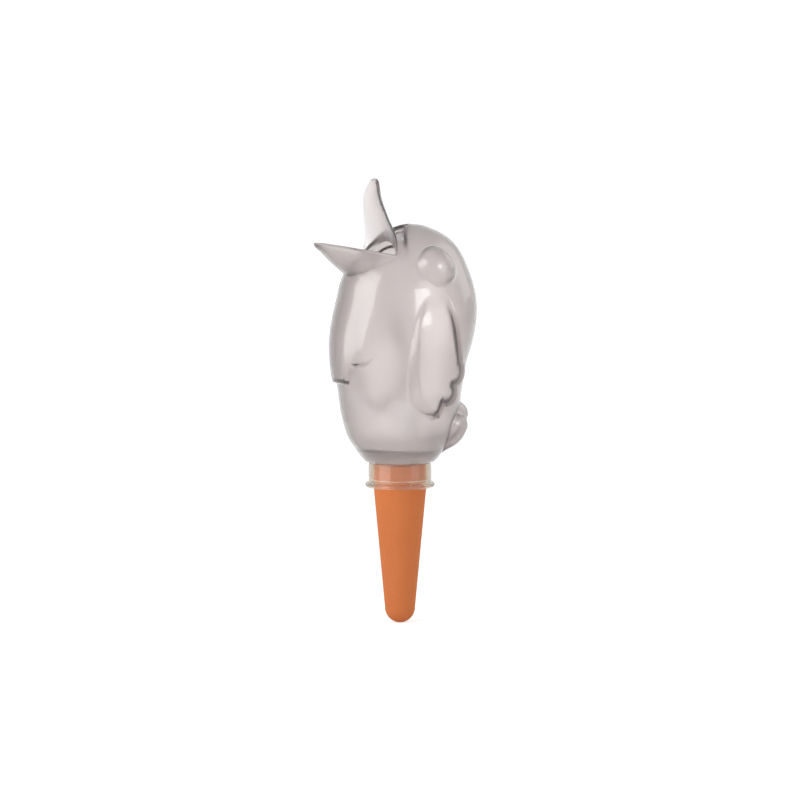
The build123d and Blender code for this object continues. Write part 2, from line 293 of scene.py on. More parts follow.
class BaseSizes(bpy.types.PropertyGroup):
    """Sizes of the neck insert, the seal ring, the collar and the clay cone."""

    fit_gap: length("Fit gap", "Gap between clear pieces that seat on each other", 0.04)
    insert_dish_radius: length("Insert dish radius", "Radius of the insert's dished top", 18)
    insert_dish_depth: length("Insert dish depth", "Depth of the insert's dished top", 2)
    spigot_radius: length("Spigot radius", "Outer radius of the spigot", 8.4)
    spigot_bore_radius: length("Spigot bore radius", "Radius of the water's way", 6)
    spigot_length: length("Spigot length", "Length of the spigot below the bottle", 9)
    seal_thickness: length("Seal thickness", "Thickness of the seal ring", 1.2)
    seal_width: length("Seal width", "Width of the seal ring", 5.1)
    collar_radius: length("Collar radius", "Outer radius of the collar's sleeve", 17)
    collar_wall: length("Collar wall", "Thickness of the collar's sleeve", 1.5)
    flange_radius: length("Flange radius", "Radius of the collar's lip", 18.9)
    flange_thickness: length("Flange thickness", "Thickness of the collar's lip", 2.6)
    grip_height: length("Grip height", "Height of the part of the collar that grips the cone", 4)
    cone_radius: length("Cone radius", "Radius of the clay cone at its top", 14.3)
    cone_tip_radius: length("Cone tip radius", "Radius of the clay cone's rounded tip", 8.2)
    cone_depth: length("Cone depth", "Depth of the cone's tip below the collar", 74.3)
    cone_wall: length("Cone wall", "Thickness of the clay", 4)
    cone_floor: length("Cone floor", "Thickness of the clay at the tip", 6)


class Finishes(bpy.types.PropertyGroup):
    """Colours of the four materials."""

    smoke: colour("Smoke", "Tint of the clear bottle", (0.625, 0.54, 0.53))
    smoke_density: number("Smoke density", "How strongly the bottle's wall absorbs light, per metre", 340)
    milk: colour("Milk", "Colour of the collar", (0.8, 0.71, 0.57))
    clay: colour("Clay", "Colour of the fired clay", (0.69, 0.183, 0.05))
    seal: colour("Seal", "Colour of the soft seal ring", (0.72, 0.69, 0.66))


class StageSizes(bpy.types.PropertyGroup):
    """Camera, floor and lamps."""

    azimuth: angle("Azimuth", "Angle of the camera round the object", 60)
    elevation: angle("Elevation", "Angle of the camera above the horizon", 5)
    distance: length("Distance", "Distance of the camera", 1360)
    lens: number("Lens", "Focal length of the camera in millimetres", 113.3)
    aim_height: length("Aim height", "Height that the camera looks at", 47)
    lamp_distance: length("Lamp distance", "Distance of the softboxes", 1100)
    lamp_power: number("Lamp power", "Power that the softboxes take their shares of, in watts", 7.5, "POWER")


def smooth_between(knots, rows, at):
    """Values between the rows of a table: a cubic through every row, at the slope between its neighbours."""
    slopes = np.gradient(rows, knots, axis=0)
    at = np.clip(at, knots[0], knots[-1])
    low = np.clip(np.searchsorted(knots, at, side="right") - 1, 0, len(knots) - 2)
    span = (knots[low + 1] - knots[low])[..., None]
    t = (at - knots[low])[..., None] / span
    return (
        (2 * t**3 - 3 * t**2 + 1) * rows[low]
        + (t**3 - 2 * t**2 + t) * span * slopes[low]
        + (3 * t**2 - 2 * t**3) * rows[low + 1]
        + (t**3 - t**2) * span * slopes[low + 1]
    )


def smooth_step(value):
    """0 below 0 and 1 above 1, with an even S between them: 3 v squared less 2 v cubed."""
    value = np.clip(value, 0, 1)
    return value * value * (3 - 2 * value)


def smooth_max(first, second, blend):
    """The larger of two heights, with the corner between them filled by a parabola as wide as blend."""
    near = np.maximum(blend - np.abs(first - second), 0)
    return np.maximum(first, second) + near * near / (4 * blend)


def unit(vectors):
    """Vectors of length 1."""
    return vectors / np.maximum(np.linalg.norm(vectors, axis=-1, keepdims=True), NEAR_ZERO)


def curve_through(points, count):
    """A smooth line through a few points: the cubic of smooth_between over the lengths of their chords."""
    chords = np.concatenate([[0], np.cumsum(np.linalg.norm(np.diff(points, axis=0), axis=1))])
    return smooth_between(chords, points, np.linspace(0, chords[-1], count))


def arc_through(start, middle, end, count=16):
    """Points on the circle through three points: its centre solves two equal-distance equations.

    The angle runs evenly from the start to the end by way of the middle."""
    sides = 2 * np.array([middle - start, end - start])
    centre = np.linalg.solve(sides, [middle @ middle - start @ start, end @ end - start @ start])
    first, way, last = (math.atan2(*(point - centre)[::-1]) for point in (start, middle, end))
    forward = (way - first) % (2 * math.pi) < (last - first) % (2 * math.pi)
    sweep = (last - first) % (2 * math.pi) - (0 if forward else 2 * math.pi)
    angle = first + sweep * np.linspace(0, 1, count)
    return centre + np.linalg.norm(start - centre) * np.stack([np.cos(angle), np.sin(angle)], -1)


def away_from_line(points, line):
    """The way to each point from the nearest point of a polyline, all in one plane."""
    start, run = line[:-1], np.diff(line, axis=0)
    away = points[..., None, :] - start
    share = np.clip((away * run).sum(-1) / (run * run).sum(-1), 0, 1)
    away = away - share[..., None] * run
    nearest = (away * away).sum(-1).argmin(-1)
    return np.take_along_axis(away, nearest[..., None, None], -2)[..., 0, :]


def distance_to_line(points, line):
    """Distance of each point to the nearest point of a polyline, all in one plane."""
    return np.linalg.norm(away_from_line(points, line), axis=-1)


def gathered(place):
    """Places across a step, 0 at its foot and 1 at its crown, with those near it drawn to either.

    The distance from the middle between the two is raised to a power below 1."""
    cell = np.floor(place)
    off = 2 * (place - cell) - 1
    drawn = cell + 0.5 + 0.5 * np.sign(off) * np.abs(off) ** GATHER_POWER
    return np.where((place > -0.5) & (place < 1.5), drawn, place)


def inside_outline(points, line):
    """True where a point is inside a closed outline: a ray to one side crosses it an odd number of times."""
    start, end = line, np.roll(line, -1, axis=0)
    across, up = points[..., 0, None], points[..., 1, None]
    spans = (start[:, 1] > up) != (end[:, 1] > up)
    rise = np.where(end[:, 1] == start[:, 1], 1, end[:, 1] - start[:, 1])
    meets = start[:, 0] + (up - start[:, 1]) / rise * (end[:, 0] - start[:, 0])
    return ((spans & (across < meets)).sum(-1) % 2) == 1


class BirdForm:
    """The bird's rounded form, grown or shrunk by a wall.

    Each level is an ellipse. Its half depth, half width and lean follow the table of shares,
    read at the angle whose sine is the level, which keeps the top of the head round."""

    def __init__(self, bottle, relief, inside):
        grow = -bottle.wall if inside else 0
        self.deep = bottle.half_depth + grow
        self.wide = bottle.half_width + grow
        self.middle = (bottle.top + bottle.bottom) / 2
        self.tall = (bottle.top - bottle.bottom) / 2 + grow
        self.lean = bottle.head_lean
        self.head = np.array([0, bottle.head_place, bottle.head_height])
        self.relief = relief
        self.grow = grow
        self.wing_edge = relief.wing_inner_edge if inside else relief.wing_edge
        self.bib_edge = relief.bib_inner_edge if inside else relief.bib_edge
        self.brow_edge = relief.brow_inner_edge if inside else relief.brow_edge
        self.tail_crease = relief.tail_inner_crease if inside else relief.tail_crease

    def at(self, height):
        """Half depth, half width, middle, and the shares of the wing, the bib and the brow, at a height."""
        level = np.clip((height - self.middle) / self.tall, -1, 1)
        values = smooth_between(np.arcsin(BODY_SHARES[:, 0]), BODY_SHARES[:, 1:], np.arcsin(level))
        depth, width, lean, wing, bib, brow = np.moveaxis(values, -1, 0)
        depth, width = np.maximum(self.deep * depth, POLE_RADIUS), np.maximum(self.wide * width, POLE_RADIUS)
        return depth, width, self.lean * lean, wing, bib, brow

    def excess(self, points):
        """Below 0 inside the form and above 0 outside: the ellipse's own sum of squares, less 1."""
        x, y, z = np.moveaxis(points, -1, 0)
        depth, width, middle = self.at(z)[:3]
        return (x / width) ** 2 + ((y - middle) / depth) ** 2 - 1

    def normal(self, points):
        """Outward directions square to the form: the slope of excess, with small steps along Z."""
        x, y, z = np.moveaxis(points, -1, 0)
        depth, width, middle = self.at(z)[:3]
        step = 0.05 * MM
        rise = self.excess(points + (0, 0, step)) - self.excess(points - (0, 0, step))
        slope_z = np.where(z > self.middle + self.tall - 2 * step, 1e3 / MM, rise / (2 * step))
        return unit(np.stack([2 * x / width**2, 2 * (y - middle) / depth**2, slope_z], -1))

    def radius(self, directions):
        """Distance from the head's middle to the form along each direction, found by halving an interval."""
        low = np.full(directions.shape[:-1], 0.2 * self.wide)
        high = np.full(directions.shape[:-1], 2 * self.deep)
        for _ in range(HEAD_HALVINGS):
            half = (low + high) / 2
            outside = self.excess(self.head + directions * half[..., None]) > 0
            high = np.where(outside, half, high)
            low = np.where(outside, low, half)
        return (low + high) / 2

    def brow(self, points):
        """How far the form is lowered in front of the brow: its step times the level's share, at a soft edge.

        The brow's line is two straight runs with a furrow of a bell curve where they meet."""
        relief = self.relief
        side = points[..., 0]
        line = relief.brow_place - self.grow - relief.brow_drop * np.abs(side) / relief.brow_half_width
        line = line + relief.brow_notch * np.exp(-((side / relief.brow_notch_width) ** 2))
        ahead = smooth_step((line - points[..., 1]) / self.brow_edge + 0.5)
        return relief.brow_step * self.at(points[..., 2])[5] * ahead

    def lowered_radius(self, directions):
        """Distance from the head's middle to the form with the brow's step taken off."""
        radius = self.radius(directions)
        return radius - self.brow(self.head + directions * radius[..., None])


class BeakHalf:
    """A channel of the beak between its two rims, whose sizes follow a table of shares over its levels."""

    def __init__(self, beak, inset):
        self.beak = beak
        self.inset = inset

    def shares(self, table, level):
        """The table's shares at a level, read at the angle whose sine is the level, which rounds the tip."""
        return np.moveaxis(smooth_between(np.arcsin(table[:, 0]), table[:, 1:], np.arcsin(level)), -1, 0)

    def sizes(self, half, rim, depth):
        """Half width, rim and depth of the channel, with the wall taken off the half width and the depth."""
        return np.maximum(half - self.inset, 0), rim, np.maximum(half * depth - self.inset, THINNEST_CHANNEL)


class UpperBeak(BeakHalf):
    """A channel that stands up from the mouth: at each height an arc between its two rims."""

    def at(self, level):
        """Half width, place of the rim, and depth of the channel at a level."""
        width, place, depth = self.shares(UPPER_BEAK_SHARES, level)
        rim = self.beak.corner_place + self.beak.upper_length * place
        return self.sizes(self.beak.upper_half_width * width, rim, depth)

    def point(self, side, level):
        """The channel's surface at a distance to the side and a level: a circle's arc over the half width."""
        half, rim, depth = self.at(level)
        side = np.minimum(side, half)
        radius = (half**2 + depth**2) / (2 * depth)
        y = rim + depth - (radius - np.sqrt(np.maximum(radius**2 - side**2, 0)))
        z = self.beak.corner_height + self.beak.upper_length * level
        return np.stack(np.broadcast_arrays(side, y, z), -1)


class LowerBeak(BeakHalf):
    """A channel that reaches forward from the mouth: at each level half an ellipse below its two rims."""

    def at(self, level):
        """Half width, height of the rim, and depth of the channel at a level."""
        width, depth = self.shares(LOWER_BEAK_SHARES, level)
        rim = self.beak.corner_height + self.beak.lower_rise * level
        return self.sizes(self.beak.lower_half_width * width, rim, depth)

    def point(self, side, level):
        """The channel's surface at a distance to the side and a level: half an ellipse as wide as it is."""
        half, rim, depth = self.at(level)
        side = np.minimum(side, half)
        share = np.where(half > 0, side / np.maximum(half, NEAR_ZERO), 1)
        z = rim - depth * np.sqrt(np.maximum(1 - share**2, 0))
        y = self.beak.corner_place - self.beak.lower_length * level
        return np.stack(np.broadcast_arrays(side, y, z), -1)


def rim_columns(beak_half, count):
    """Ends of the columns on one rim, from the corner of the mouth to the tip, evenly along the rim.

    Gives each column's distance to the side and the level of its end."""
    level = np.sin(np.linspace(0, np.pi / 2, RIM_POINTS))
    half = beak_half.at(level)[0]
    keep = np.concatenate([[True], np.diff(np.minimum.accumulate(half)) < 0])
    level, half = level[keep], half[keep]
    rim = beak_half.point(half, level)
    along = np.concatenate([[0], np.cumsum(np.linalg.norm(np.diff(rim, axis=0), axis=1))])
    wanted = np.linspace(0, along[-1], count)
    return np.interp(wanted, along, half), np.interp(wanted, along, level)


def beak_root(form, beak_half, side, end):
    """Level at which each column leaves the form: where it is as far from the head as that is, by halving."""
    low, high = np.zeros_like(end), end.copy()
    for _ in range(ROOT_HALVINGS):
        half = (low + high) / 2
        away = beak_half.point(side, half) - form.head
        outside = np.linalg.norm(away, axis=-1) > form.lowered_radius(unit(away))
        high = np.where(outside, half, high)
        low = np.where(outside, low, half)
    return high


def ball_height(points, normals, centre, radius, stretch):
    """Height above the form, square to it, of an upright ellipsoid's skin: the far root of its quadratic.

    Past the skin's edge the root of its negative is taken off instead, so that the height has no break."""
    scale = radius * np.stack(np.broadcast_arrays(1.0, 1.0, stretch), -1)
    away, run = (points - centre) / scale, normals / scale
    along, square = (away * run).sum(-1), (run * run).sum(-1)
    root = along**2 - square * ((away * away).sum(-1) - 1)
    fall = np.where(root > 0, 1, PAST_EDGE_FALL)
    return (-along + np.sign(root) * np.sqrt(np.abs(root)) * fall) / square


def wing_lines(form):
    """The wing's foot line, crown line and trailing edge in the side view, as three polylines."""
    relief, grow = form.relief, form.grow
    size = np.array([relief.wing_half_depth + grow, relief.wing_height + 2 * grow])
    corner = np.array([relief.wing_place, relief.wing_bottom - grow])
    foot = corner + size * curve_through(WING_FOOT_SHARES, 40)
    crown = corner + size * curve_through(WING_CROWN_SHARES, 40)
    lobes = [arc_through(*(corner + size * shares)) for shares in WING_LOBE_SHARES]
    back = corner + size * curve_through(WING_BACK_SHARES, 30)
    return foot, crown, np.concatenate([corner + size * WING_TIP_SHARES, *lobes, back[1:]])


def wing_rise(form, points):
    """How far the wing stands out at each point's level."""
    return form.relief.wing_rise * np.maximum(form.at(points[..., 2])[3], 0)


def wing_view(form, points, normals):
    """The wing's lines, the points seen from the side at half its rise, and which of them are inside."""
    foot, crown, trail = wing_lines(form)
    seen = (points + normals * wing_rise(form, points)[..., None] / 2)[..., 1:]
    return foot, crown, trail, seen, inside_outline(seen, np.concatenate([foot, trail[1:-1]]))


def wing_step(form, points, normals):
    """Place across the wing's trailing edge, 0 at its foot and 1 at its crown.

    With it come the way up the edge in the side view, and where the leading edge is nearer."""
    foot, _, trail, seen, inside = wing_view(form, points, normals)
    away = away_from_line(seen, trail) * np.where(inside, 1, -1)[..., None]
    distance = np.linalg.norm(away, axis=-1)
    place = (distance * np.where(inside, 1, -1) + WING_EDGE_OUTSIDE * form.relief.wing_edge) / form.wing_edge
    leading = ~inside & (distance_to_line(seen, foot) < distance)
    return place, unit(away), leading


def wing_height(form, points, normals):
    """Height of the wing: 0 outside its outline, and inside it a small step at the foot line and an even
    bevel from there to the crown line.

    It also rises steeply over the width of the trailing edge, which rises evenly from the wing's tip."""
    foot, crown, trail, seen, inside = wing_view(form, points, normals)
    past_crown = inside_outline(seen, np.concatenate([crown, trail[1:-1]]))
    to_foot, to_crown = distance_to_line(seen, foot), distance_to_line(seen, crown)
    to_tip = np.linalg.norm(seen - trail[0], axis=-1) / np.linalg.norm(crown[-1] - trail[0])
    bevel = np.where(past_crown, 1, to_foot / np.maximum(to_foot + to_crown, NEAR_ZERO))
    foot_step = smooth_step(to_foot / form.relief.wing_foot_edge)
    bevel = (1 - WING_FOOT_SHARE) * bevel + WING_FOOT_SHARE * foot_step
    bevel = np.where(inside, bevel, np.minimum(to_tip, 1))
    place, _, leading = wing_step(form, points, normals)
    return np.where(leading, 0, wing_rise(form, points) * bevel * smooth_step(place))


def bib_rise(form, points, normals):
    """How far the bib stands out: its rise at the front, less its narrowing at the side, never below 0."""
    relief = form.relief
    share = np.maximum(form.at(points[..., 2])[4], 0)
    facing = normals[..., 1] ** 2 / np.maximum(normals[..., 0] ** 2 + normals[..., 1] ** 2, NEAR_ZERO)
    raised = relief.bib_rise * facing - relief.bib_narrowing * (1 - facing)
    return smooth_max(raised, 0 * raised, BIB_SIDE_BLEND) * share * (normals[..., 1] < 0)


def bib_step(form, points, normals):
    """Place across the bib's hem, 0 at its foot and 1 at its crown, and the way up it in the front view."""
    relief, grow = form.relief, form.grow
    size = np.array([relief.bib_half_width + grow, relief.bib_height])
    corner = np.array([0, relief.bib_hem - grow])
    lobes = [arc_through(*(corner + size * shares)) for shares in BIB_LOBE_SHARES]
    side = lobes[-1][-1] + size * (1, 0)
    hem = np.concatenate([corner + size * BIB_TUFT_SHARES[:2], *lobes, [side]])
    seen = (points + normals * bib_rise(form, points, normals)[..., None] / 2)[..., ::2]
    above = np.where(seen[..., 1] > np.interp(seen[..., 0], hem[:, 0], hem[:, 1]), 1, -1)
    away = away_from_line(seen, hem) * above[..., None]
    return np.linalg.norm(away, axis=-1) * above / form.bib_edge, unit(away)


def bib_height(form, points, normals):
    """Height of the bib: its rise, taken up steeply over the width of its hem."""
    return bib_rise(form, points, normals) * smooth_step(bib_step(form, points, normals)[0])


def slide_to_steps(form, points):
    """Slides points over the form up or down each steep step, so that some lie on its foot and its crown."""
    relief = form.relief
    for _ in range(2):
        normals = form.normal(points)
        place, way, leading = wing_step(form, points, normals)
        clear = smooth_step(distance_to_line(points[..., 1:], wing_lines(form)[0]) / WING_FOOT_CLEARANCE)
        share = np.where(leading, 0, clear * smooth_step(form.at(points[..., 2])[3] / LOWEST_SLIDING_SHARE))
        move = (share * (gathered(place) - place) * relief.wing_edge)[..., None] * way
        y, z = points[..., 1] + move[..., 0], points[..., 2] + move[..., 1]
        depth, width, middle = form.at(z)[:3]
        x = width * np.sqrt(np.maximum(1 - ((y - middle) / depth) ** 2, 0))
        moved = np.abs(move).sum(-1) > 0
        points = np.where(moved[..., None], np.stack([x, y, z], -1), points)

        normals = form.normal(points)
        place, way = bib_step(form, points, normals)
        share = smooth_step(bib_rise(form, points, normals) / LOWEST_SLIDING_RISE)
        move = (share * (gathered(place) - place) * relief.bib_edge)[..., None] * way
        move[:, 0, 0] = 0
        x, z = points[..., 0] + move[..., 0], points[..., 2] + move[..., 1]
        depth, width, middle = form.at(z)[:3]
        y = middle - depth * np.sqrt(np.maximum(1 - (x / width) ** 2, 0))
        moved = np.abs(move).sum(-1) > 0
        points = np.where(moved[..., None], np.stack([x, y, z], -1), points)
    return points


def relief_height(form, points, normals):
    """Height of everything that stands out of the form: wing, bib, eye and tail, blended by smooth_max."""
    relief, grow = form.relief, form.grow
    height = wing_height(form, points, normals) + bib_height(form, points, normals)
    eye = np.array([relief.eye_side, relief.eye_place, relief.eye_height])
    ball = ball_height(points, normals, eye, relief.eye_radius + grow, 1)
    low_front = (points - eye) @ EYE_LOW_FRONT / relief.eye_radius + EYE_BLEND_START
    blend = relief.eye_crease + (relief.eye_blend - relief.eye_crease) * smooth_step(low_front)
    height = smooth_max(height, ball, blend)
    run_out = smooth_step((points[..., 2] - relief.tail_root) / relief.tail_fade)
    for stretch, drop, level, turns in (
        (TAIL_UPPER_STRETCH, TAIL_UPPER_DROP, relief.tail_upper_height, TAIL_UPPER_TURNS),
        (TAIL_LOWER_STRETCH, TAIL_LOWER_DROP, relief.tail_lower_height, TAIL_LOWER_TURNS),
    ):
        tall = stretch * (1 + drop * smooth_step(2 * (level - points[..., 2]) / relief.tail_radius))
        for turn in turns:
            away = turn * relief.tail_turn
            side = relief.tail_ring_radius * math.sin(away)
            place = relief.tail_axis_place + relief.tail_ring_radius * math.cos(away)
            centre = np.array([side, place, level])
            end = ball_height(points, normals, centre, relief.tail_radius + grow, tall)
            end = end * run_out - form.tail_crease * (1 - run_out)
            height = smooth_max(height, end, form.tail_crease)
    return height


def foot_to_shoulder(bottle, form, inside):
    """Rows of points on the form from the foot to the shoulder, half way round at each height.

    The columns start evenly round the foot, but are drawn to the wing by a sine. Inside, the seat's cone
    takes the form's place up to its height."""
    around = np.linspace(0, 1, LOWER_COLUMNS + UPPER_COLUMNS)
    wing_pull = WING_PULL * np.sin(2 * np.pi * (around - WING_TURN))
    around = around + wing_pull - np.interp(around, [0, 1], [wing_pull[0], wing_pull[-1]])
    turn = np.pi * around

    height = np.linspace(bottle.bottom, bottle.shoulder, LEVEL_ROWS)
    depth, width, middle = form.at(height)[:3]
    if inside:
        share = (height - bottle.bottom) / bottle.seat_height
        seat = bottle.seat_bottom_radius + share * (bottle.seat_top_radius - bottle.seat_bottom_radius)
        depth = np.where(share <= 1, seat, depth)
        width = np.where(share <= 1, seat, width)
    x = width[:, None] * np.sin(turn)
    y = middle[:, None] - depth[:, None] * np.cos(turn)
    rows = np.stack(np.broadcast_arrays(x, y, height[:, None]), -1)
    return rows if inside else slide_to_steps(form, rows)


def beak_columns(form, beak, inset):
    """The point where each column leaves the form for the beak, and its rows from there to the rim.

    On the beak a column keeps its distance to the side, and its rows lie closer together towards the rim."""
    roots, climbs = [], []
    climb = 1 - (1 - np.linspace(0, 1, BEAK_ROWS + 1)[1:, None]) ** 2
    lower, upper = LowerBeak(beak, inset), UpperBeak(beak, inset)
    for half, count, order in ((lower, LOWER_COLUMNS, -1), (upper, UPPER_COLUMNS, 1)):
        side, end = (values[1:][::order] for values in rim_columns(half, count + 1))
        root = beak_root(form, half, side, end)
        roots.append(half.point(side, root))
        climbs.append(half.point(np.broadcast_to(side, (BEAK_ROWS, count)), root + (end - root) * climb))
    return np.concatenate(roots), np.concatenate(climbs, axis=1)


def bottle_sheet(bottle, relief, beak, inside):
    """One skin of the left half, outer or inner, as a grid of rows from the foot to the lip.

    Up to the shoulder a point is on the ellipse of its level. From there its direction from the head's middle
    turns evenly to the beak's root, and its distance is the form's. From the root it follows the beak."""
    form = BirdForm(bottle, relief, inside)
    lower = foot_to_shoulder(bottle, form, inside)
    roots, climbs = beak_columns(form, beak, beak.wall if inside else 0)

    start = unit(lower[-1] - form.head)
    finish = unit(roots - form.head)
    turn = np.arccos(np.clip((start * finish).sum(-1), -1, 1))[None, :, None]
    share = np.linspace(0, 1, HEAD_ROWS + 1)[1:, None, None]
    share = share + ROW_PULL * np.sin(np.pi * share)
    share = share / share[-1]
    directions = unit((np.sin((1 - share) * turn) * start + np.sin(share * turn) * finish) / np.sin(turn))
    head = form.head + directions * form.lowered_radius(directions)[..., None]

    skin = np.concatenate([lower, head])
    normals = form.normal(skin)
    fade = np.ones(len(skin))
    fade[-FADE_ROWS:] = np.linspace(1, 0, FADE_ROWS)
    height = relief_height(form, skin, normals) * fade[:, None]
    return np.concatenate([skin + normals * height[..., None], climbs])


def closed_mesh(name, points, faces):
    """A mesh from points and faces, smooth but for its sharp edges. Its faces are turned outwards as one."""
    mesh = bpy.data.meshes.new(name)
    mesh.from_pydata(points.reshape(-1, 3).tolist(), [], faces)
    work = bmesh.new()
    work.from_mesh(mesh)
    bmesh.ops.remove_doubles(work, verts=work.verts, dist=MERGE_DISTANCE)
    bmesh.ops.dissolve_degenerate(work, edges=work.edges, dist=MERGE_DISTANCE)
    if work.calc_volume(signed=True) < 0:
        bmesh.ops.reverse_faces(work, faces=work.faces)
    open_edges = sum(1 for edge in work.edges if not edge.is_manifold)
    if open_edges:
        raise RuntimeError(f"{name} has {open_edges} open edges")
    work.to_mesh(mesh)
    work.free()
    mesh.shade_smooth()
    mesh.set_sharp_from_angle(angle=SHARP_ANGLE)
    piece = bpy.data.objects.new(name, mesh)
    bpy.context.scene.collection.objects.link(piece)
    return piece


def grid_faces(rows, columns, row_loop=False, column_loop=False):
    """Corner numbers of the quads of a grid, which may close on itself either way."""
    row = np.arange(rows if row_loop else rows - 1)[:, None]
    column = np.arange(columns if column_loop else columns - 1)
    this_row, next_row = row * columns, (row + 1) % rows * columns
    next_column = (column + 1) % columns
    corners = [this_row + column, this_row + next_column, next_row + next_column, next_row + column]
    return np.stack(corners, -1).reshape(-1, 4).tolist()


def bottle_half(bottle, relief, beak, name, mirrored):
    """One half of the bottle: outer skin, rounded lip, inner skin and foot as one loop of rows.

    The lip is half a circle on the line between the two skins' last rows, bulging the way that they point.
    Strips between the skins' ends close the half along the weld."""
    outer = bottle_sheet(bottle, relief, beak, False)
    inner = bottle_sheet(bottle, relief, beak, True)
    middle, reach = (outer[-1] + inner[-1]) / 2, (outer[-1] - inner[-1]) / 2
    point_way = unit(unit(outer[-1] - outer[-4]) + unit(inner[-1] - inner[-4]))
    bulge = unit(point_way - (point_way * unit(reach)).sum(-1, keepdims=True) * unit(reach))
    turn = np.pi * (np.arange(1, LIP_ROWS + 1) / (LIP_ROWS + 1))[:, None, None]
    size = np.linalg.norm(reach, axis=-1, keepdims=True)
    lip = middle + reach * np.cos(turn) + bulge * size * np.sin(turn)
    loop = np.concatenate([outer, lip, inner[::-1]])
    loop[..., 0] = np.maximum(loop[..., 0], 0) + bottle.weld_gap
    count, across = loop.shape[:2]
    faces = grid_faces(count, across, row_loop=True)
    skin_rows = len(outer)
    for column in (0, across - 1):
        out = np.arange(skin_rows) * across + column
        back = (count - 1 - np.arange(skin_rows)) * across + column
        strip = np.stack([out[:-1], out[1:], back[1:], back[:-1]], -1)
        lip_end = np.arange(skin_rows - 1, skin_rows + LIP_ROWS + 1) * across + column
        order = 1 if column == 0 else -1
        faces += strip[:, ::order].tolist() + [lip_end[::order].tolist()]
    if mirrored:
        loop = loop * (-1, 1, 1)
        faces = [face[::-1] for face in faces]
    return closed_mesh(name, loop, faces)


def round_corners(corners, radii, count=6):
    """A closed profile whose corners are arcs of the given radii.

    Each arc turns evenly, by the sines of its parts, from one side of the corner to the other."""
    corners = np.array(corners, float)
    before, after = np.roll(corners, 1, axis=0), np.roll(corners, -1, axis=0)
    profile = []
    for corner, back, ahead, radius in zip(corners, before, after, radii):
        if radius == 0:
            profile.append(corner[None])
            continue
        to_back, to_ahead = unit(back - corner), unit(ahead - corner)
        half = np.arccos(np.clip(to_back @ to_ahead, -1, 1)) / 2
        centre = corner + unit(to_back + to_ahead) * radius / np.sin(half)
        first = corner + to_back * radius / np.tan(half) - centre
        last = corner + to_ahead * radius / np.tan(half) - centre
        sweep = np.pi - 2 * half
        share = np.linspace(0, 1, count + 1)[:, None]
        parts = np.sin((1 - share) * sweep) * first + np.sin(share * sweep) * last
        profile.append(centre + parts / np.sin(sweep))
    return np.concatenate(profile)


def turned(name, profile, segments=160, closed=True):
    """A turned piece: its profile of radius and height, carried round Z.

    A profile that isn't closed has both its ends on the axis."""
    turn = np.linspace(0, 2 * np.pi, segments, endpoint=False)[:, None]
    radius, height = profile[:, 0], profile[:, 1]
    points = np.stack(np.broadcast_arrays(radius * np.cos(turn), radius * np.sin(turn), height), -1)
    return closed_mesh(name, points, grid_faces(segments, len(profile), True, closed))


def adder(tree):
    """A function that adds a node to a tree, with its links by socket and its settings or values by name."""

    def add(kind, links=(), **values):
        node = tree.nodes.new("ShaderNode" + kind)
        for key, value in values.items():
            if hasattr(node, key):
                setattr(node, key, value)
            else:
                node.inputs[key.replace("_", " ")].default_value = value
        for socket, source in dict(links).items():
            tree.links.new(source, node.inputs[socket])
        return node.outputs[0] if node.outputs else node

    return add


def new_material(name):
    """An empty material, the function that adds its nodes, and its Object coordinates."""
    material = bpy.data.materials.new(name)
    material.use_nodes = True
    material.node_tree.nodes.clear()
    add = adder(material.node_tree)
    place = add("TexCoord").node.outputs["Object"]
    return material, add, place


def clear_to_shadow(add, surface, tint):
    """The surface as it is, but only a tint to rays that ask for shadow, so that light passes through."""
    shadow = add("LightPath").node.outputs["Is Shadow Ray"]
    shade = add("BsdfTransparent", Color=(*tint, 1))
    return add("MixShader", {"Fac": shadow, 1: surface, 2: shade})


def clear_plastic(finish, name, density, clearness=1.0):
    """Smoky clear plastic: a sharp gloss over hazy glass, moulding ripples, and a tint from the wall's depth.

    What clearness leaves out is a cloudy white that scatters light."""
    material, add, place = new_material(name)
    ripple = add("TexNoise", {"Vector": place}, Scale=55.0, Detail=1.0)
    bump = add("Bump", {"Height": ripple}, Strength=0.04, Distance=0.0006)
    haze = add("TexNoise", {"Vector": place}, Scale=140.0, Detail=3.0)
    polish = add("MapRange", {"Value": haze}, From_Min=0.3, From_Max=0.7, To_Min=0.28, To_Max=0.34)
    surface = add(
        "BsdfPrincipled", {"Roughness": polish, "Normal": bump}, Base_Color=(1, 1, 1, 1), IOR=1.46,
        Transmission_Weight=clearness, Coat_Weight=1.0, Coat_Roughness=0.06, Coat_IOR=1.5,
    )
    depth = add("VolumeAbsorption", Color=(*finish.smoke, 1), Density=density)
    add("OutputMaterial", {"Surface": clear_to_shadow(add, surface, (0.87, 0.85, 0.85)), "Volume": depth})
    return material


def milky_plastic(finish):
    """Milky soft plastic: clear but hazy under a gloss, with a fine frosting and cloudy streaks."""
    material, add, place = new_material("milky_plastic")
    cloud = add("TexNoise", {"Vector": place}, Scale=90.0, Detail=4.0)
    darker = [0.88 * value for value in finish.milk]
    tone = add("MixRGB", {"Fac": cloud}, Color1=(*finish.milk, 1), Color2=(*darker, 1))
    frost = add("TexNoise", {"Vector": place}, Scale=900.0, Detail=2.0)
    bump = add("Bump", {"Height": frost}, Strength=0.08, Distance=0.0003)
    haze = add("MapRange", {"Value": cloud}, From_Min=0.3, From_Max=0.7, To_Min=0.16, To_Max=0.24)
    surface = add(
        "BsdfPrincipled", {"Base Color": tone, "Roughness": haze, "Normal": bump}, IOR=1.4,
        Transmission_Weight=0.95, Coat_Weight=0.5, Coat_Roughness=0.08,
    )
    add("OutputMaterial", {"Surface": clear_to_shadow(add, surface, (0.8, 0.76, 0.72))})
    return material


